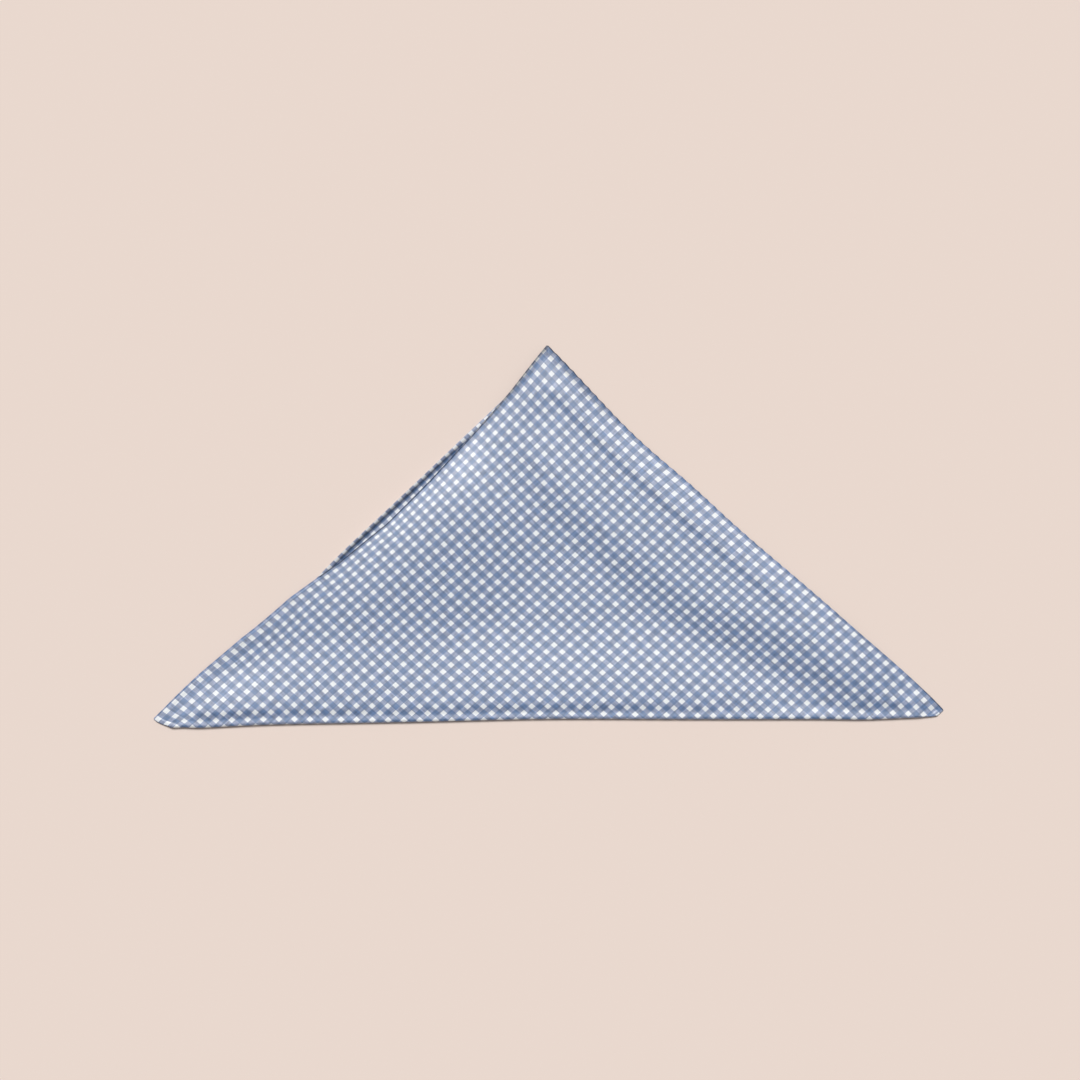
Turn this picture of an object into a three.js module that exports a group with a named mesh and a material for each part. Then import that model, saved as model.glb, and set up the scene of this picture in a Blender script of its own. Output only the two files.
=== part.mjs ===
import * as THREE from 'three';

// A square silk neckerchief, hemmed all round and folded once from corner to corner.
// Millimetres, +Z up. It lies flat: +X runs along the fold, +Y from the fold to the peak.
// The cloth is measured from its two upper edges: u across from the left edge and v across
// from the right edge, so the peak is u = v = 0 and the fold runs near u + v = SIDE.

const SIDE = 530; // side of the hemmed square
const THICK = 1; // thickness of the sheet
const FOLD_RADIUS = 2.5; // bend of the sheet's middle line round the fold
const FOLD_PAST_DIAGONAL = { left: 16.5, rest: 14.5 }; // how far the fold lies past the corners
const CORNER_WIDTH = 1.5; // blunt width of the hemmed corners
const LIE_LOW = THICK / 2; // height of the middle line on the surface
const LIE_ON_UNDER = 3; // height of the middle line over the under layer

// Way the threads run on the table, in degrees below +X, at a distance along them.
const RIGHT_EDGE_WAY = [
  { at: 0, angle: 44 },
  { at: 40, angle: 46 },
  { at: 90, angle: 46 },
  { at: 150, angle: 42.5 },
  { at: 220, angle: 41.5 },
  { at: 320, angle: 40.3 },
  { at: 430, angle: 41.5 },
  { at: 530, angle: 46.5 },
];
const LEFT_EDGE_WAY = [
  { at: 0, angle: 139.5 },
  { at: 90, angle: 137.5 },
  { at: 180, angle: 137 },
  { at: 270, angle: 138.5 },
  { at: 360, angle: 138 },
  { at: 450, angle: 136.5 },
  { at: 530, angle: 136.5 },
];
const TAKE_UP = { right: 0.995, left: 0.987 }; // share of a thread's length that its waves leave
const PEAK = { x: 4.5, y: 187 }; // where the two edges start, before the nudges

// How far the puffed left edge of the upper layer is drawn in, at a distance v along it.
const DRAWN_IN = [
  { at: 0, by: -4 },
  { at: 60, by: 4.5 },
  { at: 120, by: 9 },
  { at: 180, by: 13 },
  { at: 240, by: 16 },
  { at: 300, by: 13.5 },
  { at: 360, by: 4 },
  { at: 420, by: -0.5 },
  { at: 470, by: -1 },
  { at: 530, by: 0.5 },
];
const DRAWN_IN_REACH = { peak: 14, corner: 41 };

// Places where the cloth was nudged as it was laid out: centre, reach and shift.
const NUDGES = [
  { u: -12, v: 530, reachU: 79, reachV: 205, x: -7, y: -10 },
  { u: 120, v: -6, reachU: 163, reachV: 57, x: -5, y: 1 },
  { u: 287, v: 273, reachU: 103, reachV: 139, x: 2, y: 3 },
  { u: 195, v: -2, reachU: 47, reachV: 20, x: 3, y: 0 },
  { u: 10, v: 400, reachU: 20, reachV: 69, x: 6, y: -3 },
  { u: 0, v: 530, reachU: 25, reachV: 25, x: -3, y: 0 },
];

// The under layer lies a little to the left of the fold's mirror, and lower at its right edge.
const UNDER_SLIP = { u: -14.5, v: 6, over: 150 };

// Soft ridges of the upper layer: height at points (u, v), half width on either side.
const RIDGES = [
  {
    name: 'puff along the left edge',
    path: [
      { u: 40, v: 80, rise: 0.5 },
      { u: 44, v: 150, rise: 6 },
      { u: 46, v: 240, rise: 10 },
      { u: 48, v: 330, rise: 8 },
      { u: 52, v: 420, rise: 3 },
    ],
    widthRight: 62,
    widthLeft: 27,
  },
  {
    name: 'band beside the right edge',
    path: [
      { u: 70, v: 60, rise: 1 },
      { u: 150, v: 64, rise: 3.2 },
      { u: 260, v: 64, rise: 3.6 },
      { u: 340, v: 52, rise: 3 },
      { u: 430, v: 34, rise: 1.5 },
    ],
    widthRight: 34,
    widthLeft: 30,
  },
  {
    name: 'swell above the fold',
    path: [
      { u: 60, v: 440, rise: 3 },
      { u: 150, v: 352, rise: 3.4 },
      { u: 260, v: 245, rise: 4.4 },
      { u: 360, v: 148, rise: 3 },
      { u: 440, v: 66, rise: 1 },
    ],
    widthRight: 22,
    widthLeft: 75,
  },
  {
    name: 'hem of the under layer showing through',
    path: [
      { u: 25, v: 24, rise: 0.8 },
      { u: 480, v: 24, rise: 1 },
    ],
    widthRight: 9,
    widthLeft: 9,
  },
];

// The grid: rows by their distance from the diagonal, columns by their distance from an edge.
const UPPER_ROWS = 26;
const STRIP_ROWS = [0.35, 0.7];
const ROLL_STEPS = 6;
const UNDER_ROWS = 14;
const EDGE_STEPS = [0, 6, 14, 24, 34, 52, 84];
const MIDDLE_STEPS = 8;

const HALF_DIAGONAL = SIDE / Math.SQRT2;
const ROLL_ARC = Math.PI * FOLD_RADIUS; // cloth taken up by the roll of the fold
const PAST_CORNER = 60; // how far a thread's way is followed past the corner
const radians = (degrees) => (degrees * Math.PI) / 180;
const ease = (t) => {
  const s = Math.min(Math.max(t, 0), 1);
  return s * s * (3 - 2 * s);
};
const bell = (t) => Math.exp(-t * t);

// Value of a table at a place, running straight from row to row.
function lookUp(table, key, at) {
  const next = table.findIndex((row) => row.at >= at);
  if (next === 0) return table[0][key];
  if (next < 0) return table[table.length - 1][key];
  const [a, b] = [table[next - 1], table[next]];
  return THREE.MathUtils.lerp(a[key], b[key], (at - a.at) / (b.at - a.at));
}

// Places along a thread that starts at 0, found by walking it in short steps.
function walkThread(way, takeUp) {
  const step = 5;
  const places = [new THREE.Vector2(0, 0)];
  for (let at = step / 2; at < SIDE + PAST_CORNER; at += step) {
    const angle = radians(lookUp(way, 'angle', at));
    const stride = step * takeUp;
    const last = places[places.length - 1];
    places.push(new THREE.Vector2(last.x + stride * Math.cos(angle), last.y - stride * Math.sin(angle)));
  }
  return (at) => {
    const index = Math.min(Math.max(at / step, 0), places.length - 1.001);
    const low = Math.floor(index);
    return places[low].clone().lerp(places[low + 1], index - low);
  };
}

const alongRight = walkThread(RIGHT_EDGE_WAY, TAKE_UP.right);
const alongLeft = walkThread(LEFT_EDGE_WAY, TAKE_UP.left);

// Place on the table of a point of the cloth; the drawn-in edge is the upper layer's alone.
function placeOnTable(u, v, upper) {
  const place = alongRight(u).add(alongLeft(v)).add(new THREE.Vector2(PEAK.x, PEAK.y));
  for (const nudge of NUDGES) {
    const share = bell((u - nudge.u) / nudge.reachU) * bell((v - nudge.v) / nudge.reachV);
    place.x += nudge.x * share;
    place.y += nudge.y * share;
  }
  if (upper) {
    const reach = THREE.MathUtils.lerp(DRAWN_IN_REACH.peak, DRAWN_IN_REACH.corner, v / SIDE);
    const by = lookUp(DRAWN_IN, 'by', v) * bell(u / reach);
    const angle = radians(lookUp(RIGHT_EDGE_WAY, 'angle', u));
    place.x += by * Math.cos(angle);
    place.y -= by * Math.sin(angle);
  }
  return place;
}

// Height of one ridge at (u, v): the bell of the distance from its path.
function ridgeHeight(ridge, u, v) {
  let best = { gap: Infinity, rise: 0, side: 1 };
  for (let k = 0; k + 1 < ridge.path.length; k += 1) {
    const [a, b] = [ridge.path[k], ridge.path[k + 1]];
    const [du, dv] = [b.u - a.u, b.v - a.v];
    const length = Math.hypot(du, dv);
    const along = THREE.MathUtils.clamp(((u - a.u) * du + (v - a.v) * dv) / (length * length), 0, 1);
    const gap = Math.hypot(u - a.u - along * du, v - a.v - along * dv);
    if (gap < best.gap) {
      const side = Math.sign((u - a.u) * dv - (v - a.v) * du);
      best = { gap, side, rise: THREE.MathUtils.lerp(a.rise, b.rise, along) };
    }
  }
  return best.rise * bell(best.gap / (best.side > 0 ? ridge.widthRight : ridge.widthLeft));
}

// Height of the upper layer's middle line. It lies on the under layer, comes down to the
// surface past the under layer's right edge and peak, and joins the roll of the fold.
function upperHeight(u, v, fromFold) {
  const margin = 24;
  const overUnder = ease(v / margin) * ease((u + v) / (2 * margin));
  let height = THREE.MathUtils.lerp(LIE_LOW + 0.4, LIE_ON_UNDER, overUnder);
  for (const ridge of RIDGES) height += ridgeHeight(ridge, u, v) * ease(v / margin);
  const rollTop = LIE_LOW + 2 * FOLD_RADIUS;
  const toRoll = ease(1 - (fromFold - ROLL_ARC / 2) / 24);
  return THREE.MathUtils.lerp(height, rollTop, toRoll);
}

// Distance of the fold from the diagonal, at a place w along the diagonal.
function foldPast(w) {
  const leftShare = ease(-w / HALF_DIAGONAL);
  return THREE.MathUtils.lerp(FOLD_PAST_DIAGONAL.rest, FOLD_PAST_DIAGONAL.left, leftShare);
}

// Positions across a row as places w, closer together beside the two edges. The row ends
// where it meets the edges of the cloth.
function rowPlaces(distanceAt) {
  const left = Math.abs(distanceAt(-HALF_DIAGONAL)) - HALF_DIAGONAL;
  const right = HALF_DIAGONAL - Math.abs(distanceAt(HALF_DIAGONAL));
  const last = EDGE_STEPS[EDGE_STEPS.length - 1];
  const scale = Math.min(Math.SQRT2, (right - left) / (3 * last));
  const middle = [];
  for (let k = 1; k < MIDDLE_STEPS; k += 1) {
    middle.push(THREE.MathUtils.lerp(left + last * scale, right - last * scale, k / MIDDLE_STEPS));
  }
  return [
    ...EDGE_STEPS.map((step) => left + step * scale),
    ...middle,
    ...EDGE_STEPS.map((step) => right - step * scale).reverse(),
  ];
}

// Cloth coordinates of the point at a distance from the diagonal and a place w along it.
const clothU = (distance, w) => (SIDE - distance * Math.SQRT2 + w * Math.SQRT2) / 2;
const clothV = (distance, w) => (SIDE - distance * Math.SQRT2 - w * Math.SQRT2) / 2;

// One row of the upper layer's middle line, named by its distance from the diagonal.
function upperRow(distanceAt) {
  return rowPlaces(distanceAt).map((w) => {
    const distance = distanceAt(w);
    const [u, v] = [clothU(distance, w), clothV(distance, w)];
    const place = placeOnTable(u, v, true);
    return new THREE.Vector3(place.x, place.y, upperHeight(u, v, distance + foldPast(w)));
  });
}

// One row of the under layer: it lies where the fold mirrors it, but for the slip.
function underRow(distanceAt) {
  return rowPlaces(distanceAt).map((w) => {
    const mirrored = -2 * foldPast(w) - distanceAt(w);
    const slip = ease((mirrored + foldPast(w)) / UNDER_SLIP.over);
    const u = clothU(mirrored, w) + UNDER_SLIP.u * slip;
    const v = clothV(mirrored, w) + UNDER_SLIP.v * slip;
    const place = placeOnTable(u, v, false);
    return new THREE.Vector3(place.x, place.y, LIE_LOW);
  });
}

// The roll: each row turns about a centre line at the start of the fold.
function rollRows() {
  const start = (w) => ROLL_ARC / 2 - foldPast(w);
  const above = upperRow(start);
  const rows = [];
  for (let k = 0; k <= ROLL_STEPS; k += 1) {
    const turn = radians(90 - (180 * k) / ROLL_STEPS);
    rows.push(above.map((p) => new THREE.Vector3(
      p.x,
      p.y - FOLD_RADIUS * Math.cos(turn),
      LIE_LOW + FOLD_RADIUS + FOLD_RADIUS * Math.sin(turn),
    )));
  }
  return rows;
}

function middleLine() {
  const rows = [];
  const peakDistance = HALF_DIAGONAL - CORNER_WIDTH / 2;
  for (let k = 0; k < UPPER_ROWS; k += 1) {
    const distance = peakDistance * (1 - k / UPPER_ROWS);
    rows.push(upperRow(() => distance));
  }
  rows.push(upperRow(() => 0));
  for (const share of STRIP_ROWS) {
    rows.push(upperRow((w) => share * (ROLL_ARC / 2 - foldPast(w))));
  }
  rows.push(...rollRows());
  for (let k = 1; k <= UNDER_ROWS; k += 1) {
    const share = k / UNDER_ROWS;
    const start = (w) => -foldPast(w) - ROLL_ARC / 2;
    rows.push(underRow((w) => THREE.MathUtils.lerp(start(w), -peakDistance, share)));
  }
  return rows;
}

// Closed sheet round the middle line: half the thickness to either side along its normal.
function sheetGeometry(rows) {
  const count = rows[0].length;
  const normals = rows.map((row, r) => row.map((_, c) => {
    const along = rows[Math.min(r + 1, rows.length - 1)][c].clone().sub(rows[Math.max(r - 1, 0)][c]);
    const across = row[Math.min(c + 1, count - 1)].clone().sub(row[Math.max(c - 1, 0)]);
    return along.cross(across).normalize();
  }));
  const face = (side) => rows.map((row, r) => row.map((p, c) => (
    p.clone().addScaledVector(normals[r][c], (side * THICK) / 2))));
  const outer = face(1);
  const inner = face(-1);
  const rings = outer.map((row, r) => [...row, ...inner[r].reverse()]);
  const ring = 2 * count;
  const positions = rings.flat().flatMap((p) => [p.x, p.y, p.z]);
  const indices = [];
  for (let r = 0; r + 1 < rings.length; r += 1) {
    for (let c = 0; c < ring; c += 1) {
      const [a, b] = [r * ring + c, r * ring + ((c + 1) % ring)];
      indices.push(a, a + ring, b, b, a + ring, b + ring);
    }
  }
  const last = (rings.length - 1) * ring;
  for (let c = 0; c + 1 < count; c += 1) {
    const [a, b, d, e] = [c, c + 1, ring - 1 - c, ring - 2 - c];
    indices.push(a, b, d, b, e, d);
    indices.push(last + a, last + d, last + b, last + b, last + d, last + e);
  }
  const geometry = new THREE.BufferGeometry();
  geometry.setAttribute('position', new THREE.Float32BufferAttribute(positions, 3));
  geometry.setIndex(indices);
  return geometry;
}

const silk = new THREE.MeshStandardMaterial({ color: 0xa6afc3, roughness: 0.45, metalness: 0 });
const geometry = sheetGeometry(middleLine());
geometry.computeBoundingBox();
const centre = geometry.boundingBox.getCenter(new THREE.Vector3());
geometry.translate(-centre.x, -centre.y, -geometry.boundingBox.min.z);

const scarf = new THREE.Mesh(geometry, silk);
scarf.name = 'scarf';
const part = new THREE.Group();
part.add(scarf);

export default part;
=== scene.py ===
# %% [markdown]
# A folded silk scarf, step by step.
# The real thing is a small square of thin silk in a blue and white gingham, hemmed all round,
# folded once from corner to corner and laid flat. The solid model of it gives the frame: where
# it lies, how long it is and how high it stands. Everything here is built in that same place.

# %% Load the frame
import bpy
import math
import numpy as np
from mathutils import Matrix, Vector


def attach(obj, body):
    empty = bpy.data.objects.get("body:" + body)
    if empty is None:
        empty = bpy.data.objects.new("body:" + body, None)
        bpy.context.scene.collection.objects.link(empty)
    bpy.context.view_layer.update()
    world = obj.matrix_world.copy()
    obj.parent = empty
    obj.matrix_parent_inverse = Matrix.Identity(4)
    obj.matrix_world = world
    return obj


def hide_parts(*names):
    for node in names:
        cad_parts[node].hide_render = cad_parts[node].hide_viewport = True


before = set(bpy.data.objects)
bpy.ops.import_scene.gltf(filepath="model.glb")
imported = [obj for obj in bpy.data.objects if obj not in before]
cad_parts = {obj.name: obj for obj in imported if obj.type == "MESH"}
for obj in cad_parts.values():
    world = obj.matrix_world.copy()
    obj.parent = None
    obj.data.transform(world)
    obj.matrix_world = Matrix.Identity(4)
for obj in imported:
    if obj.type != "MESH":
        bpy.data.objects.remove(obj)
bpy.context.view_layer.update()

# %% [markdown]
# Blender works in metres, but cloth is easier to think of in millimetres, so every size below
# is in millimetres and is turned into metres once, when the mesh is made.
# A point of the cloth is named by two numbers, as a weaver would: u across from the left edge
# and v across from the right edge. The peak is u = v = 0, and the fold runs near u + v = SIDE.

# %% Sizes of the cloth
MM = 0.001
SIDE = 530.0
HALF_DIAGONAL = SIDE / math.sqrt(2)
BODY_HALF = 0.18
HEM_HALF = 0.5
RIM_HALF = 0.02
HEM_WIDTH = 4.6
HEM_EASE = 3.2
FOLD_RADIUS = 2.5
ROLL_ARC = math.pi * FOLD_RADIUS
FOLD_PAST_DIAGONAL = {"left": 17.6, "rest": 14.5, "right": 9.3}
RIGHT_CORNER_FROM = 285.0
CORNER_WIDTH = 1.5
PEAK = {"x": 4.46, "y": 187.25}
UNDER_SLIP = {"u": -14.5, "v": 6.0, "over": 150.0}
print(f"square of {SIDE:.0f} mm, hem {HEM_WIDTH} mm wide and {2 * HEM_HALF:.2f} mm thick")

# %% [markdown]
# Laid by hand, the threads don't run straight: they swing by a few degrees as the cloth is
# pulled and smoothed. Two short tables say which way the threads run along the right and the
# left edge. Walking along them in short steps gives a curved net, and the cloth lies on it.

# %% How the threads run
RIGHT_EDGE_WAY = {0: 44, 40: 46, 90: 46, 150: 42.5, 220: 41.5, 320: 40.3, 430: 41.5, 530: 46.5}
LEFT_EDGE_WAY = {0: 139.5, 90: 137.5, 180: 137, 270: 138.5, 360: 138, 450: 136.5, 530: 136.5}
TAKE_UP = {"right": 0.995, "left": 0.987}
WALK_STEP = 5.0
PAST_CORNER = 60.0


def look_up(table, at):
    """Value of a table at a place, running straight from row to row."""
    return np.interp(at, list(table), list(table.values()))


def ease(t):
    """Smooth step: 0 below t = 0, 1 above t = 1, and 3t^2 - 2t^3 between."""
    s = np.clip(t, 0, 1)
    return s * s * (3 - 2 * s)


def bell(t):
    """Bell curve exp(-t^2): 1 in the middle, a third at one width, next to nothing at two."""
    return np.exp(-t * t)


def walk_thread(way, take_up):
    """Places along a thread: the running sum of steps, each turned by the table's angle."""
    middle = np.arange(WALK_STEP / 2, SIDE + PAST_CORNER, WALK_STEP)
    angle = np.radians(look_up(way, middle))
    stride = WALK_STEP * take_up
    xs = np.concatenate([[0], np.cumsum(stride * np.cos(angle))])
    ys = np.concatenate([[0], np.cumsum(-stride * np.sin(angle))])
    at = WALK_STEP * np.arange(len(xs))
    return lambda places: (np.interp(places, at, xs), np.interp(places, at, ys))


along_right = walk_thread(RIGHT_EDGE_WAY, TAKE_UP["right"])
along_left = walk_thread(LEFT_EDGE_WAY, TAKE_UP["left"])
print("right edge ends at", [round(float(x), 1) for x in along_right(SIDE)])

# %% [markdown]
# On top of the net come the marks of the hand: the puffed left edge of the upper layer is drawn
# in towards the middle, and a few places were nudged as the scarf was laid out. The stitches of
# the hem also pull the right edge into a fine wave, one to each check.

# %% Nudges and the drawn-in edge
DRAWN_IN = {
    0: -4, 60: 5, 120: 11, 180: 15.5, 240: 18, 300: 14.5, 360: 4, 420: -0.5, 470: -1, 530: 0.5,
}
DRAWN_IN_OVER = 70.0
SCALLOP = {"depth": 0.3, "every": 10.6, "start": 3.4, "reach": 5.0}
SCALLOP_STRETCH = {"from": -20.0, "until": 420.0, "over": 60.0}
NUDGES = [
    {"u": -12, "v": 530, "reach_u": 79, "reach_v": 205, "x": -7, "y": -10},
    {"u": 120, "v": -6, "reach_u": 163, "reach_v": 57, "x": -5, "y": 1},
    {"u": 287, "v": 273, "reach_u": 103, "reach_v": 139, "x": 2, "y": 3},
    {"u": 195, "v": -2, "reach_u": 47, "reach_v": 20, "x": 3, "y": 0},
    {"u": 10, "v": 400, "reach_u": 20, "reach_v": 69, "x": 6, "y": -3},
    {"u": 0, "v": 530, "reach_u": 22, "reach_v": 22, "x": -3, "y": -4},
    {"u": 26, "v": 530, "reach_u": 14, "reach_v": 16, "x": 1, "y": 3.2},
]


def place_on_table(u, v, upper):
    """Plan of the cloth: the peak, plus the way along both edges, plus each nudge times two
    bells, plus a cosine wave in the hem beside the right edge, where its stitches pull it. The
    upper layer is also drawn in along the right edge's way, by the square of the distance left
    to where that ends."""
    right_x, right_y = along_right(u)
    left_x, left_y = along_left(v)
    x = PEAK["x"] + right_x + left_x
    y = PEAK["y"] + right_y + left_y
    for nudge in NUDGES:
        share = bell((u - nudge["u"]) / nudge["reach_u"])
        share = share * bell((v - nudge["v"]) / nudge["reach_v"])
        x = x + nudge["x"] * share
        y = y + nudge["y"] * share
    if upper:
        by = look_up(DRAWN_IN, v) * np.clip(1 - u / DRAWN_IN_OVER, 0, 1) ** 2
        angle = np.radians(look_up(RIGHT_EDGE_WAY, u))
        x = x + by * np.cos(angle)
        y = y - by * np.sin(angle)
    wave = np.cos(2 * np.pi * (u - SCALLOP["start"]) / SCALLOP["every"])
    over = SCALLOP_STRETCH["over"]
    stretch = ease((u - SCALLOP_STRETCH["from"]) / over) * ease((SCALLOP_STRETCH["until"] - u) / over)
    out = SCALLOP["depth"] * wave * bell(v / SCALLOP["reach"]) * stretch
    return x + out, y + out


print("peak at", [round(float(x), 1) for x in place_on_table(0.0, 0.0, True)])

# %% [markdown]
# Soft swells and hollows give the cloth its light and shade. They are drawn as short tables of
# heights, the way a pattern cutter marks a few points and bends a spline through them, so that
# no crease shows where two rows meet.

# %% A spline through a few heights


def curve(table, at):
    """Smooth curve through a table: between two rows a cubic that meets both heights, with the
    slope that the neighbouring rows have on average. Past the ends it stays level."""
    places = np.array(list(table), dtype=float)
    heights = np.array(list(table.values()), dtype=float)
    slopes = np.gradient(heights, places)
    at = np.clip(at, places[0], places[-1])
    k = np.clip(np.searchsorted(places, at, side="right") - 1, 0, len(places) - 2)
    gap = places[k + 1] - places[k]
    t = (at - places[k]) / gap
    from_low = (1 + 2 * t) * heights[k] + t * gap * slopes[k]
    from_high = (3 - 2 * t) * heights[k + 1] + (t - 1) * gap * slopes[k + 1]
    return (1 - t) ** 2 * from_low + t * t * from_high


# %% [markdown]
# Along the right edge the upper layer lies like a low terrace: it rises over the hem of the
# layer below, stays level for a hand's breadth less, and steps down softly into the middle.

# %% The terrace beside the right edge
BASIN = 2.2
TERRACE_RISE = {
    0: 2.8, 40: 4.0, 90: 4.3, 200: 4.2, 290: 4.6, 340: 5.8, 390: 7.2, 440: 6.2, 495: 2.6, 530: 1,
}
TERRACE_STEP = {
    0: 106, 240: 106, 301: 99, 333: 87, 365: 75, 396: 69, 428: 66, 460: 56, 492: 38, 530: 18,
}
TERRACE_SOFTNESS = {0: 54, 300: 52, 370: 64, 430: 60, 492: 34, 530: 22}
UNDER_HEM = {"v": 26.0, "rise": 1.4, "width": 7.0}
UNDER_HEM_STRETCH = {"from": 15.0, "until": 385.0, "starts_over": 30.0, "ends_over": 60.0}


def terrace(u, v):
    """Rise at u, times one minus a smooth step of v round the step's place, plus a narrow bell
    where the hem of the layer below shows through."""
    past_step = (v - curve(TERRACE_STEP, u)) / curve(TERRACE_SOFTNESS, u)
    level = curve(TERRACE_RISE, u) * (1 - ease(past_step + 0.5))
    starts = ease((u - UNDER_HEM_STRETCH["from"]) / UNDER_HEM_STRETCH["starts_over"])
    ends = ease((UNDER_HEM_STRETCH["until"] - u) / UNDER_HEM_STRETCH["ends_over"])
    over_hem = starts * ends
    return level + UNDER_HEM["rise"] * over_hem * bell((v - UNDER_HEM["v"]) / UNDER_HEM["width"])


# %% [markdown]
# The left edge is puffed up. From a soft crest the cloth curves down to the edge, ever steeper,
# and inwards it sinks slowly to the hollow in the middle. Above the fold the cloth bulges once
# more, because the fold isn't pressed, and close to the fold it dips into a narrow groove.

# %% The puff, the swell above the fold and two small bumps
PUFF_CREST = {
    0: 0, 60: 0, 95: 1.8, 137: 5.6, 175: 7.4, 215: 7.2, 255: 6.2, 295: 4.6, 335: 2.8, 380: 1, 430: 0,
}
PUFF_INSIDE = {"from": 50.0, "over": 122.0}
LEFT_EDGE = {
    0: 3.4, 15: 6.4, 33: 7.2, 54: 6.6, 75: 5.2, 96: 3.8, 137: 3, 175: 3.2,
    215: 4.1, 255: 4.5, 295: 4.2, 335: 3.9, 380: 4, 430: 3.8, 480: 3, 530: 1.4,
}
LEFT_REACH = {0: 34, 60: 38, 100: 44, 150: 50, 215: 54, 265: 66, 340: 66, 400: 54, 530: 50}
LEFT_POWER = {0: 2, 150: 2.3, 215: 2.2, 270: 1.5, 340: 1.6, 400: 2, 530: 2}
SWELL_RISE = {
    -375: 1.5, -320: 4.5, -250: 4.1, -100: 3.7, 0: 4, 110: 3.8, 165: 3, 215: 2, 265: 1.6, 375: 1.2,
}
SWELL_START = {-375: 40, -310: 72, -230: 98, 0: 110, 150: 98, 225: 50, 300: 36, 375: 30}
SWELL_CREST = 16.0
BY_THE_FOLD = {3.93: 0, 6: -0.13, 9: -0.38, 14: -0.48}
BUMPS = [
    {"u": 22, "v": 48, "reach_u": 20, "reach_v": 34, "rise": 1.8},
    {"u": 452, "v": 44, "reach_u": 42, "reach_v": 17, "rise": 1.6},
]


def puff(u, v):
    """Crest height at v, held to the crest and then sinking inwards by a smooth step of u."""
    return curve(PUFF_CREST, v) * (1 - ease((u - PUFF_INSIDE["from"]) / PUFF_INSIDE["over"]))


def swell(u, v, from_fold):
    """Rise along the fold, times a smooth step of the distance from it, from start to crest."""
    w = (u - v) / math.sqrt(2)
    start = curve(SWELL_START, w)
    return curve(SWELL_RISE, w) * ease((start - from_fold) / (start - SWELL_CREST))


def bumps(u, v):
    """Small rises near the peak and the right corner: each the product of two bells."""
    height = 0 * u
    for bump in BUMPS:
        across = bell((u - bump["u"]) / bump["reach_u"])
        height = height + bump["rise"] * across * bell((v - bump["v"]) / bump["reach_v"])
    return height


def relief(u, v, from_fold):
    """Height of the open cloth over the table: the hollow plus all swells, pulled down towards
    the left edge's own height by the power of the distance left to the crest."""
    open_cloth = BASIN + terrace(u, v) + puff(u, v) + swell(u, v, from_fold) + bumps(u, v)
    at_edge = BASIN + terrace(0 * u, v) + puff(0 * u, v) + swell(0 * u, v, from_fold)
    left_over = np.clip(1 - u / curve(LEFT_REACH, v), 0, 1) ** curve(LEFT_POWER, v)
    return open_cloth + (curve(LEFT_EDGE, v) - at_edge) * left_over


# %% [markdown]
# The edges themselves are never flat either: along the right edge the cloth rolls down to the
# table, most steeply beside the peak, and along the left edge the last two millimetres turn down.
# The fold is a round roll of one radius for most of its length, and flattens at both corners.

# %% Height of the upper layer
RIGHT_ROLL = {0: 0, 3: 0.34, 6: 0.54, 10: 0.67, 16: 0.82, 24: 0.96, 32: 1}
PEAK_ROLL = {0: 0, 4: 0.42, 8: 0.8, 11: 0.95, 15: 1}
PEAK_ROLL_UNTIL = {"u": 75.0, "over": 50.0}
LEFT_RIM = {"over": 2.0, "fall": 1.2}
LEAST_LIFT = 0.3
GROOVE_END = {"from": 7.0, "over": 11.5}
FOLD_FLATTER = {"share": 0.24, "over": 28.0}


def fold_radius(w):
    """Radius of the fold's roll: the same for most of it, easing to a share of it at the ends."""
    share = FOLD_FLATTER["share"]
    from_end = HALF_DIAGONAL - np.abs(w)
    return FOLD_RADIUS * (share + (1 - share) * ease(from_end / FOLD_FLATTER["over"]))


def upper_height(u, v, from_fold, half):
    """The relief, rolled down at the right edge and turned down at the left one, and close to
    the fold blended into the groove and the top of the roll."""
    low = half + LEAST_LIFT
    open_cloth = relief(u, v, from_fold)
    open_cloth = open_cloth - LEFT_RIM["fall"] * (1 - ease(u / LEFT_RIM["over"]))
    by_peak = ease((PEAK_ROLL_UNTIL["u"] - u) / PEAK_ROLL_UNTIL["over"] + 0.5)
    rolled = curve(RIGHT_ROLL, v) + (curve(PEAK_ROLL, v) - curve(RIGHT_ROLL, v)) * by_peak
    roll_top = half + 2 * fold_radius((u - v) / math.sqrt(2))
    near_fold = roll_top + curve(BY_THE_FOLD, from_fold)
    away = ease((from_fold - GROOVE_END["from"]) / GROOVE_END["over"])
    height = near_fold + (open_cloth - near_fold) * away
    return np.maximum(low + (height - low) * rolled, low)


sample_u = np.array([60.0, 60.0, 150.0, 150.0])
sample_v = np.array([100.0, 200.0, 60.0, 240.0])
sample = relief(sample_u, sample_v, np.full(4, 150.0))
print("relief at two places of the puff, on the terrace and in the hollow:", sample.round(1), "mm")

# %% [markdown]
# The whole scarf is one surface on a two-parameter grid. Rows run along the fold: down the
# upper layer, round the roll of the fold and back up the under layer. Columns run across, and
# they crowd together beside the edges, where the hem needs fine steps.

# %% The grid of the cloth
EDGE_STEPS = np.concatenate([
    [0, 0.12, 0.35, 0.7, 1.2, 1.8, 2.6, 3.4, 4.0, 4.5, 5.0, 5.6, 6.4],
    np.arange(7.6, 20, 1.8),
    np.arange(20, 40, 1.5),
    np.arange(40, 61, 3),
])
MIDDLE_COLUMNS = 96
UPPER_ROW_STEP = 2.6
ROWS_BY_FOLD = {"closer_from": 42.0, "closer": 2.0, "closest_from": 14.0, "closest": 1.0}
UNDER_ROW_STEP = 7.0
UNDER_ROWS_END = 10.0
ROLL_STEPS = 12
PEAK_DISTANCE = HALF_DIAGONAL - CORNER_WIDTH / 2


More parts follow.
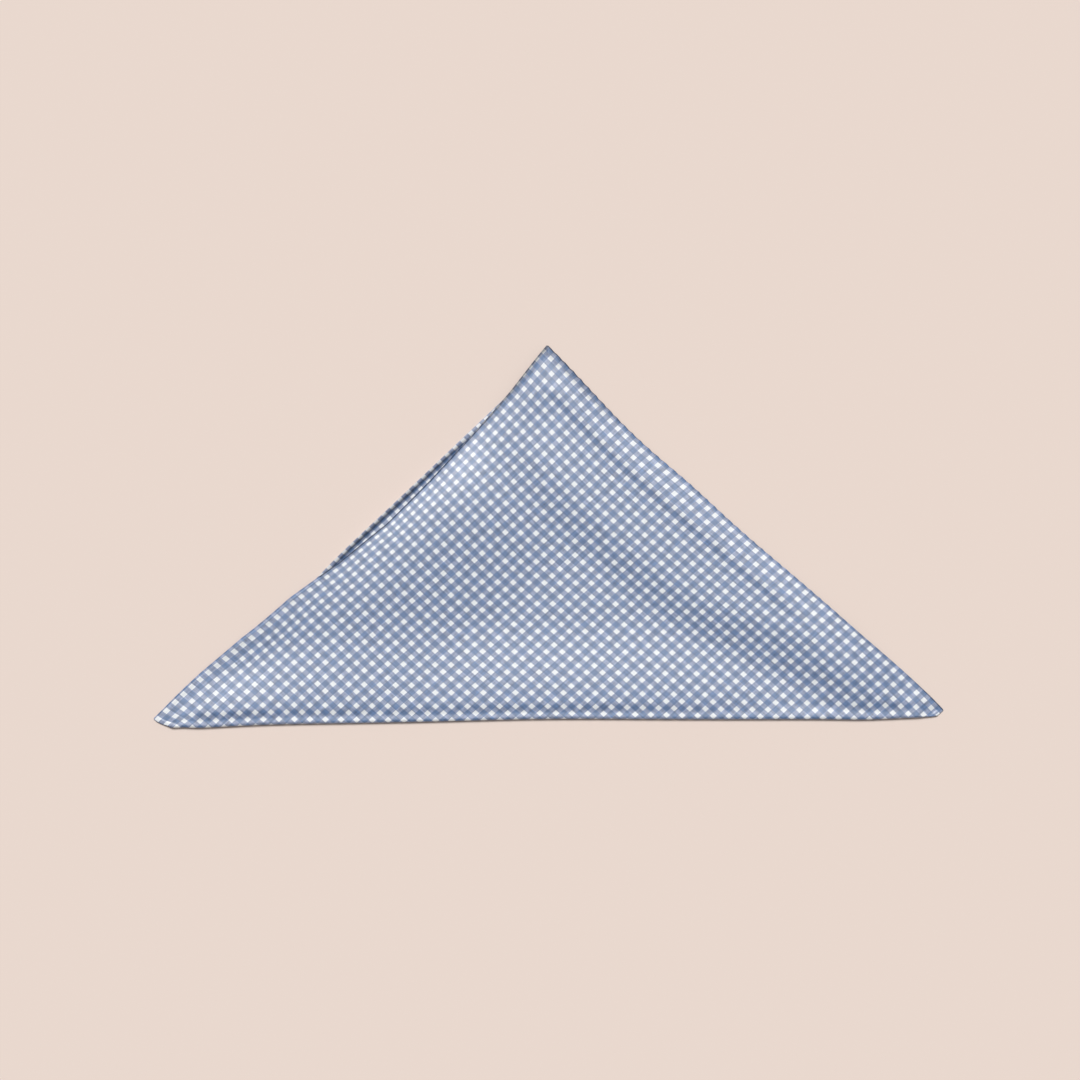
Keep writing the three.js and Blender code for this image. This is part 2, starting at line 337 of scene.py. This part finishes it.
def fold_past(w):
    """How far the fold lies past the diagonal: one value for most of it, easing to the left
    corner's over the left half and to the right corner's over the last stretch."""
    rest = FOLD_PAST_DIAGONAL["rest"]
    at_left = (FOLD_PAST_DIAGONAL["left"] - rest) * ease(-w / HALF_DIAGONAL)
    to_right = ease((w - RIGHT_CORNER_FROM) / (HALF_DIAGONAL - RIGHT_CORNER_FROM))
    return rest + at_left + (FOLD_PAST_DIAGONAL["right"] - rest) * to_right


def row_places(distance_at_left, distance_at_right):
    """Places w across each row, in fine steps beside both edges and even ones between."""
    left = np.abs(distance_at_left) - HALF_DIAGONAL
    right = HALF_DIAGONAL - np.abs(distance_at_right)
    scale = np.minimum(math.sqrt(2), (right - left) / (3 * EDGE_STEPS[-1]))
    from_left = left[:, None] + scale[:, None] * EDGE_STEPS
    from_right = right[:, None] - scale[:, None] * EDGE_STEPS[::-1]
    share = np.arange(1, MIDDLE_COLUMNS) / MIDDLE_COLUMNS
    start, end = from_left[:, -1:], from_right[:, :1]
    return np.concatenate([from_left, start + (end - start) * share, from_right], axis=1)


def cloth_point(distance, w):
    """Cloth coordinates (u, v) at a distance above the diagonal and a place w along it."""
    u = (SIDE - distance * math.sqrt(2) + w * math.sqrt(2)) / 2
    v = (SIDE - distance * math.sqrt(2) - w * math.sqrt(2)) / 2
    return u, v


def half_thickness(u, v):
    """Half the cloth's thickness: round at the very edge, thick over the hem, thin inside."""
    from_edge = np.clip(np.minimum(np.minimum(u, v), np.minimum(SIDE - u, SIDE - v)), 0, None)
    rim = np.sqrt(np.clip(1 - (1 - np.minimum(from_edge / HEM_HALF, 1)) ** 2, 0, 1))
    inside = ease((from_edge - HEM_WIDTH) / HEM_EASE + 0.5)
    return RIM_HALF + (HEM_HALF + (BODY_HALF - HEM_HALF) * inside - RIM_HALF) * rim


# %% [markdown]
# Three blocks of rows are worked out in turn. The upper layer starts at the peak. The roll
# turns each thread round a half circle. The under layer is the mirror of the upper one about
# the fold, slipped a little to the left. It lies flat on the table, but where its hem peeps out
# past the puffed left edge it curls up and draws in the cloth behind it, which lies in shade.

# %% Rows of the upper layer, the roll and the under layer
END_ROWS = np.array([0, 0.3, 0.8, 1.5, 2.3, 3.2, 4.2, 5.2, 6.4, 8.0])
UNDER_CURL = {0: 0, 95: 0, 135: 3.2, 190: 5.4, 255: 5.2, 300: 2.6, 335: 0, 530: 0}
CURL_FLAT = 0.3
CURL_OVER = 10.0
CURL_DRAW = {"by": 4.6, "over": 12.0, "until": 80.0, "whole_at_rise": 4.0}


def upper_rows():
    """Grid of (x, y, z, u, v, half) from the peak to the start of the roll. Each row's
    distance runs in even steps, finer at the peak and in the last stretch above the fold."""
    start_left = ROLL_ARC / 2 - fold_past(-HALF_DIAGONAL)
    start_right = ROLL_ARC / 2 - fold_past(HALF_DIAGONAL)
    length = PEAK_DISTANCE - start_right
    closer_from, closer = ROWS_BY_FOLD["closer_from"], ROWS_BY_FOLD["closer"]
    closest_from, closest = ROWS_BY_FOLD["closest_from"], ROWS_BY_FOLD["closest"]
    from_peak = np.concatenate([
        END_ROWS,
        np.arange(END_ROWS[-1] + UPPER_ROW_STEP, length - closer_from - closer, UPPER_ROW_STEP),
        length - np.arange(closer_from, closest_from, -closer),
        length - np.arange(closest_from, -closest / 2, -closest),
    ])
    t = from_peak / length
    w = row_places(
        PEAK_DISTANCE + (start_left - PEAK_DISTANCE) * t,
        PEAK_DISTANCE + (start_right - PEAK_DISTANCE) * t,
    )
    start = ROLL_ARC / 2 - fold_past(w)
    distance = PEAK_DISTANCE + (start - PEAK_DISTANCE) * t[:, None]
    u, v = cloth_point(distance, w)
    half = half_thickness(u, v)
    x, y = place_on_table(u, v, True)
    z = upper_height(u, v, distance + fold_past(w), half)
    return np.stack([x, y, z, u, v, half], axis=-1), w[-1]


def roll_rows(last_row, w):
    """Half circle of the fold's radius from the upper layer's last row round to the table."""
    share = np.arange(1, ROLL_STEPS + 1)[:, None] / ROLL_STEPS
    turn = np.pi / 2 - np.pi * share
    u, v = cloth_point(ROLL_ARC / 2 - fold_past(w) - ROLL_ARC * share, w)
    half = half_thickness(u, v)
    x = np.broadcast_to(last_row[:, 0], u.shape)
    radius = fold_radius(w)
    y = last_row[:, 1] - radius * np.cos(turn)
    z = half + radius + radius * np.sin(turn)
    return np.stack([x, y, z, u, v, half], axis=-1)


def under_rows():
    """Mirror of the upper layer about the fold, with the slip, lying on the table. The hem is
    lifted by the curl's height times one minus a smooth step of the distance from the hem."""
    start_left = -fold_past(-HALF_DIAGONAL) - ROLL_ARC / 2
    start_right = -fold_past(HALF_DIAGONAL) - ROLL_ARC / 2
    length = PEAK_DISTANCE + start_right
    even_rows = np.arange(UNDER_ROW_STEP, length - UNDER_ROWS_END, UNDER_ROW_STEP)
    to_peak = np.concatenate([even_rows, length - END_ROWS[::-1]])
    t = to_peak / length
    w = row_places(
        start_left + (-PEAK_DISTANCE - start_left) * t,
        start_right + (-PEAK_DISTANCE - start_right) * t,
    )
    start = -fold_past(w) - ROLL_ARC / 2
    distance = start + (-PEAK_DISTANCE - start) * t[:, None]
    u, v = cloth_point(distance, w)
    half = half_thickness(u, v)
    mirrored = -2 * fold_past(w) - distance
    slip = ease((mirrored + fold_past(w)) / UNDER_SLIP["over"])
    mirror_u, mirror_v = cloth_point(mirrored, w)
    rise = np.maximum(curve(UNDER_CURL, mirror_v), 0)
    from_hem = SIDE - v
    drawn = ease(from_hem / CURL_DRAW["over"]) * ease(1 - from_hem / CURL_DRAW["until"])
    drawn = drawn * np.clip(rise / CURL_DRAW["whole_at_rise"], 0, 1)
    laid_u = mirror_u - CURL_DRAW["by"] * drawn + UNDER_SLIP["u"] * slip
    laid_v = mirror_v + UNDER_SLIP["v"] * slip
    x, y = place_on_table(laid_u, laid_v, False)
    curl = rise * (1 - ease((from_hem - CURL_FLAT) / CURL_OVER))
    return np.stack([x, y, half + curl, u, v, half], axis=-1)


upper, fold_places = upper_rows()
roll = roll_rows(upper[-1], fold_places)
under = under_rows()
cloth = np.concatenate([upper, roll, under])
print("grid", cloth.shape[:2], "rows: upper", len(upper), "roll", len(roll), "under", len(under))

# %% [markdown]
# Cloth has two faces. Each row becomes a closed ring: along the outer face, round the hem and
# back along the inner face. Rings joined in order make one closed thin sheet, with the peak
# and the hidden corner closed by a strip. The UV map is the cloth itself, u and v over SIDE,
# so the woven check follows every fold.

# %% Make the sheet


def sheet_rings(grid):
    """Rings round the middle surface: half the thickness to either side of it, along the
    cross product of the steps down and across the grid."""
    middle = grid[..., :3]
    normal = np.cross(np.gradient(middle, axis=0), np.gradient(middle, axis=1))
    normal /= np.maximum(np.linalg.norm(normal, axis=-1, keepdims=True), 1e-9)
    half = grid[..., 5:6]
    outer = middle + normal * half
    inner = middle - normal * half
    return np.concatenate([outer, inner[:, ::-1]], axis=1)


def ring_faces(rows, ring):
    """Quads between neighbouring rings, then the two end strips."""
    r, c = np.meshgrid(np.arange(rows - 1), np.arange(ring), indexing="ij")
    a, b = r * ring + c, r * ring + (c + 1) % ring
    wall = np.stack([a, a + ring, b + ring, b], axis=-1).reshape(-1, 4)
    k = np.arange(ring // 2 - 1)
    first = np.stack([k, k + 1, ring - 2 - k, ring - 1 - k], axis=-1)
    last = np.stack([k, ring - 1 - k, ring - 2 - k, k + 1], axis=-1) + (rows - 1) * ring
    return np.concatenate([wall, first, last])


def mesh_from_arrays(name, points, faces, uvs):
    """New mesh object from arrays of points in metres, quads and one UV for each point."""
    mesh = bpy.data.meshes.new(name)
    mesh.vertices.add(len(points))
    mesh.vertices.foreach_set("co", points.ravel())
    mesh.loops.add(faces.size)
    mesh.loops.foreach_set("vertex_index", faces.ravel())
    mesh.polygons.add(len(faces))
    mesh.polygons.foreach_set("loop_start", np.arange(0, faces.size, 4))
    layer = mesh.uv_layers.new(name="cloth")
    layer.data.foreach_set("uv", uvs[faces.ravel()].ravel())
    mesh.update(calc_edges=True)
    mesh.validate()
    mesh.polygons.foreach_set("use_smooth", np.ones(len(mesh.polygons), dtype=bool))
    piece = bpy.data.objects.new(name, mesh)
    bpy.context.scene.collection.objects.link(piece)
    return piece


rings = sheet_rings(cloth)
cloth_uv = cloth[..., 3:5] / SIDE
ring_uv = np.concatenate([cloth_uv, cloth_uv[:, ::-1]], axis=1)
faces = ring_faces(rings.shape[0], rings.shape[1])
scarf = mesh_from_arrays("silk_scarf", rings.reshape(-1, 3) * MM, faces, ring_uv.reshape(-1, 2))
print("faces", len(faces), "triangles", 2 * len(faces))

# %% [markdown]
# It is worked out from the UV map with plain arithmetic nodes, so it stays sharp at any
# distance. Silk threads are never quite even, so a fine noise stretched along each way of the
# weave deepens some and lightens others. The hem is a tight roll of several turns of the cloth.
# Shade is painted into the colour: a dark line along the very edge, with no gloss, is painted
# shade where the edges turn down and where the puffed left edge stands over the layer below,
# and beside the peak painted shade deepens the right edge's hem, where the cloth rolls down.

# %% The silk's material
CHECK = {"across_u": 10.6, "across_v": 10.39, "start_u": -15.06, "start_v": -14.73, "lean": 0.7}
WHITE_SHARE = 0.45
EDGE_SOFTNESS = 0.03
THREADS = {"along": 40.0, "across": 330.0, "strength": 1.1, "in_white": 0.25}
# Painted shade: a dark line along the very edge stands for the shade where the edges turn down.
EDGE_PAINTED_SHADE = {"from": 1.2, "to": 3.8, "shade": 0.34, "right_narrower": 2.1}
EDGE_PAINTED_SHADE_LEFT = {"until": 0.66, "soft": 0.05}
# Painted shade: the right edge's hem beside the peak is darkened where the cloth rolls down.
PEAK_PAINTED_SHADE = {"width": 8.0, "soft_width": 2.0, "until": 90.0, "soft_end": 20.0, "shade": 0.84}
WHITE = (0.80, 0.824, 0.845, 1)
HALF_TONE = (0.25, 0.30, 0.445, 1)
FULL_BLUE = (0.09, 0.165, 0.328, 1)


class Nodes:
    """Short hand for wiring one material's nodes."""

    def __init__(self, material):
        material.use_nodes = True
        self.tree = material.node_tree
        self.tree.nodes.clear()

    def add(self, kind, **settings):
        node = self.tree.nodes.new(kind)
        for name, value in settings.items():
            setattr(node, name, value)
        return node

    def feed(self, socket, value):
        if isinstance(value, bpy.types.NodeSocket):
            self.tree.links.new(value, socket)
        elif value is not None:
            socket.default_value = value

    def math(self, operation, a, b=None, c=None):
        node = self.add("ShaderNodeMath", operation=operation)
        for socket, value in zip(node.inputs, (a, b, c)):
            self.feed(socket, value)
        return node.outputs[0]

    def mix(self, share, a, b):
        node = self.add("ShaderNodeMix", data_type="RGBA")
        self.feed(node.inputs[0], share)
        self.feed(node.inputs[6], a)
        self.feed(node.inputs[7], b)
        return node.outputs[2]

    def smooth_range(self, value, low, high, out_low=0.0, out_high=1.0):
        node = self.add("ShaderNodeMapRange", interpolation_type="SMOOTHSTEP")
        for socket, fed in zip(node.inputs, (value, low, high, out_low, out_high)):
            self.feed(socket, fed)
        return node.outputs[0]


def white_stripe(nodes, checks):
    """1 on the white stripe round each whole number of checks, 0 on the blue one."""
    within = nodes.math("FRACT", nodes.math("ADD", checks, 0.5))
    off = nodes.math("ABSOLUTE", nodes.math("SUBTRACT", within, 0.5))
    half = WHITE_SHARE / 2
    return nodes.smooth_range(off, half + EDGE_SOFTNESS / 2, half - EDGE_SOFTNESS / 2)


def thread_group():
    """Node group: uneven threads. Noise stretched along one way of the cloth, as a shade."""
    group = bpy.data.node_groups.new("uneven threads", "ShaderNodeTree")
    for name in ("Along", "Across"):
        group.interface.new_socket(name, in_out="INPUT", socket_type="NodeSocketFloat")
    group.interface.new_socket("Shade", in_out="OUTPUT", socket_type="NodeSocketFloat")
    source = group.nodes.new("NodeGroupInput")
    place = group.nodes.new("ShaderNodeCombineXYZ")
    noise = group.nodes.new("ShaderNodeTexNoise")
    noise.inputs["Scale"].default_value = 1.0
    noise.inputs["Detail"].default_value = 1.0
    sink = group.nodes.new("NodeGroupOutput")
    for name, scale, socket in (("Along", THREADS["along"], 0), ("Across", THREADS["across"], 1)):
        stretch = group.nodes.new("ShaderNodeMath")
        stretch.operation = "MULTIPLY"
        stretch.inputs[1].default_value = scale
        group.links.new(source.outputs[name], stretch.inputs[0])
        group.links.new(stretch.outputs[0], place.inputs[socket])
    group.links.new(place.outputs[0], noise.inputs["Vector"])
    group.links.new(noise.outputs[0], sink.inputs["Shade"])
    return group


def check_colour(nodes, across, down):
    """Colour of the gingham, and 1 where both stripes are white."""
    lean = nodes.math("MULTIPLY_ADD", down, CHECK["lean"], CHECK["start_u"])
    i = nodes.math("MULTIPLY_ADD", across, SIDE / CHECK["across_u"], lean)
    j = nodes.math("MULTIPLY_ADD", down, SIDE / CHECK["across_v"], CHECK["start_v"])
    white_u = white_stripe(nodes, i)
    white_v = white_stripe(nodes, j)
    both = nodes.math("MULTIPLY", white_u, white_v)
    either = nodes.math("MAXIMUM", white_u, white_v)
    return nodes.mix(both, nodes.mix(either, FULL_BLUE, HALF_TONE), WHITE), both


def thread_shade(nodes, across, down, both_white):
    """Shade near 1: the two ways' noises added, at full strength in blue and less in white."""
    threads = thread_group()
    shades = []
    for along, crossing in ((across, down), (down, across)):
        strand = nodes.add("ShaderNodeGroup", node_tree=threads)
        nodes.feed(strand.inputs["Along"], along)
        nodes.feed(strand.inputs["Across"], crossing)
        shades.append(strand.outputs["Shade"])
    unevenness = nodes.math("SUBTRACT", nodes.math("ADD", *shades), 1.0)
    in_white = THREADS["strength"] * THREADS["in_white"]
    strength = nodes.smooth_range(both_white, 0.0, 1.0, THREADS["strength"], in_white)
    return nodes.math("MULTIPLY_ADD", unevenness, strength, 1.0)


def paint_edge_shade(nodes, across, down):
    """Painted shade of the very edge where it turns down: dark along the right edge and the left one
    as far as the puff goes, rising to 1 by a smooth step of the distance from the nearer edge."""
    until, soft = EDGE_PAINTED_SHADE_LEFT["until"], EDGE_PAINTED_SHADE_LEFT["soft"]
    past_puff = nodes.smooth_range(down, until - soft, until + soft)
    from_left = nodes.math("ADD", across, past_puff)
    from_right = nodes.math("MULTIPLY", down, EDGE_PAINTED_SHADE["right_narrower"])
    from_edge = nodes.math("MULTIPLY", nodes.math("MINIMUM", from_left, from_right), SIDE)
    return nodes.smooth_range(from_edge, EDGE_PAINTED_SHADE["from"], EDGE_PAINTED_SHADE["to"], EDGE_PAINTED_SHADE["shade"], 1.0)


def below(nodes, value, limit, soft):
    """1 where a cloth coordinate is under a limit in millimetres, 0 past it, softly between."""
    return nodes.smooth_range(value, (limit + soft) / SIDE, (limit - soft) / SIDE)


def paint_peak_shade(nodes, across, down):
    """Painted shade on the right edge's hem beside the peak, where the cloth rolls down steeply."""
    by_peak = below(nodes, across, PEAK_PAINTED_SHADE["until"], PEAK_PAINTED_SHADE["soft_end"])
    in_hem = below(nodes, down, PEAK_PAINTED_SHADE["width"], PEAK_PAINTED_SHADE["soft_width"])
    corner = nodes.math("MULTIPLY", by_peak, in_hem)
    return nodes.smooth_range(corner, 0.0, 1.0, 1.0, PEAK_PAINTED_SHADE["shade"])


def silk_material():
    """Gingham colour from the cloth's own coordinates, times the shade of its uneven threads and the
    painted shade at its edges and beside the peak, with a satin gloss, taken away at the very edge."""
    material = bpy.data.materials.new("checked silk")
    nodes = Nodes(material)
    parts = nodes.add("ShaderNodeSeparateXYZ")
    nodes.feed(parts.inputs[0], nodes.add("ShaderNodeUVMap", uv_map="cloth").outputs[0])
    across, down = parts.outputs[0], parts.outputs[1]
    colour, both_white = check_colour(nodes, across, down)
    # Painted shade along the very edge darkens the colour, and below also the gloss.
    painted_edge_shade = paint_edge_shade(nodes, across, down)
    shade = nodes.math("MULTIPLY", thread_shade(nodes, across, down, both_white), painted_edge_shade)
    # Painted shade darkens the right edge's hem beside the peak.
    shade = nodes.math("MULTIPLY", shade, paint_peak_shade(nodes, across, down))
    shaded = nodes.add("ShaderNodeVectorMath", operation="SCALE")
    nodes.feed(shaded.inputs[0], colour)
    nodes.feed(shaded.inputs["Scale"], shade)
    shader = nodes.add("ShaderNodeBsdfPrincipled")
    shader.inputs["Roughness"].default_value = 0.5
    shader.inputs["IOR"].default_value = 1.65
    # The painted edge shade also takes the gloss away along the very edge.
    nodes.feed(shader.inputs["Specular IOR Level"], painted_edge_shade)
    nodes.feed(shader.inputs["Base Color"], shaded.outputs[0])
    output = nodes.add("ShaderNodeOutputMaterial")
    nodes.feed(output.inputs[0], shader.outputs[0])
    return material


scarf.data.materials.append(silk_material())
print("material", scarf.data.materials[0].name)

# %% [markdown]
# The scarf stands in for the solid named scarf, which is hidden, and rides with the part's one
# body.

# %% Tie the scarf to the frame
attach(scarf, "root")
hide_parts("scarf")

# %% [markdown]
# The floor is a plain pale surface. It catches a soft shadow, so the scarf sits on something.

# %% The floor
FLOOR_HALF = 4.0
FLOOR_COLOUR = (0.83, 0.70, 0.629, 1)


def floor_material():
    """Matt pale paper."""
    material = bpy.data.materials.new("pale paper")
    nodes = Nodes(material)
    shader = nodes.add("ShaderNodeBsdfPrincipled")
    shader.inputs["Base Color"].default_value = FLOOR_COLOUR
    shader.inputs["Roughness"].default_value = 0.9
    shader.inputs["Specular IOR Level"].default_value = 0.1
    output = nodes.add("ShaderNodeOutputMaterial")
    nodes.feed(output.inputs[0], shader.outputs[0])
    return material


corners = np.array([(-1, -1, 0), (1, -1, 0), (1, 1, 0), (-1, 1, 0)], dtype=float) * FLOOR_HALF
floor = mesh_from_arrays("floor", corners, np.array([[0, 1, 2, 3]]), corners[:, :2])
floor.data.materials.append(floor_material())

# %% [markdown]
# The light is a large soft lamp high behind the peak, a little to the left, as a window would
# be, and an even pale surround that fills the shadows. Slopes that face the peak catch the
# silk's gloss and slopes that face the fold stay deeper in colour.

# %% Light
KEY_FROM = Vector((-0.12, 1.0, 1.78))
KEY_STRENGTH = 2.75
KEY_ANGLE = math.radians(24)
SURROUND_STRENGTH = 0.22

key = bpy.data.objects.new("key", bpy.data.lights.new("key", "SUN"))
key.data.energy = KEY_STRENGTH
key.data.angle = KEY_ANGLE
key.rotation_euler = KEY_FROM.to_track_quat("Z", "Y").to_euler()
bpy.context.scene.collection.objects.link(key)

world = bpy.data.worlds.new("studio")
world.use_nodes = True
world.node_tree.nodes["Background"].inputs[0].default_value = (1, 1, 1, 1)
world.node_tree.nodes["Background"].inputs[1].default_value = SURROUND_STRENGTH
bpy.context.scene.world = world
bpy.context.scene.view_settings.view_transform = "Standard"

# %% [markdown]
# The camera hangs straight above the scarf and sees the same square as the photograph, 1069 mm
# wide, with the scarf a little right of its middle.

# %% Camera
FRAME_WIDTH = 1069.2
FRAME_CENTRE = (-8.4, -2.5)
LENS = 85.0
SENSOR = 36.0

camera = bpy.data.objects.new("camera", bpy.data.cameras.new("camera"))
camera.data.lens = LENS
camera.data.sensor_width = SENSOR
camera.data.dof.use_dof = False
height = FRAME_WIDTH * LENS / SENSOR
camera.location = (FRAME_CENTRE[0] * MM, FRAME_CENTRE[1] * MM, height * MM)
camera.rotation_euler = (0, 0, 0)
bpy.context.scene.collection.objects.link(camera)
bpy.context.scene.camera = camera
print("camera height", round(height * MM, 3), "m")
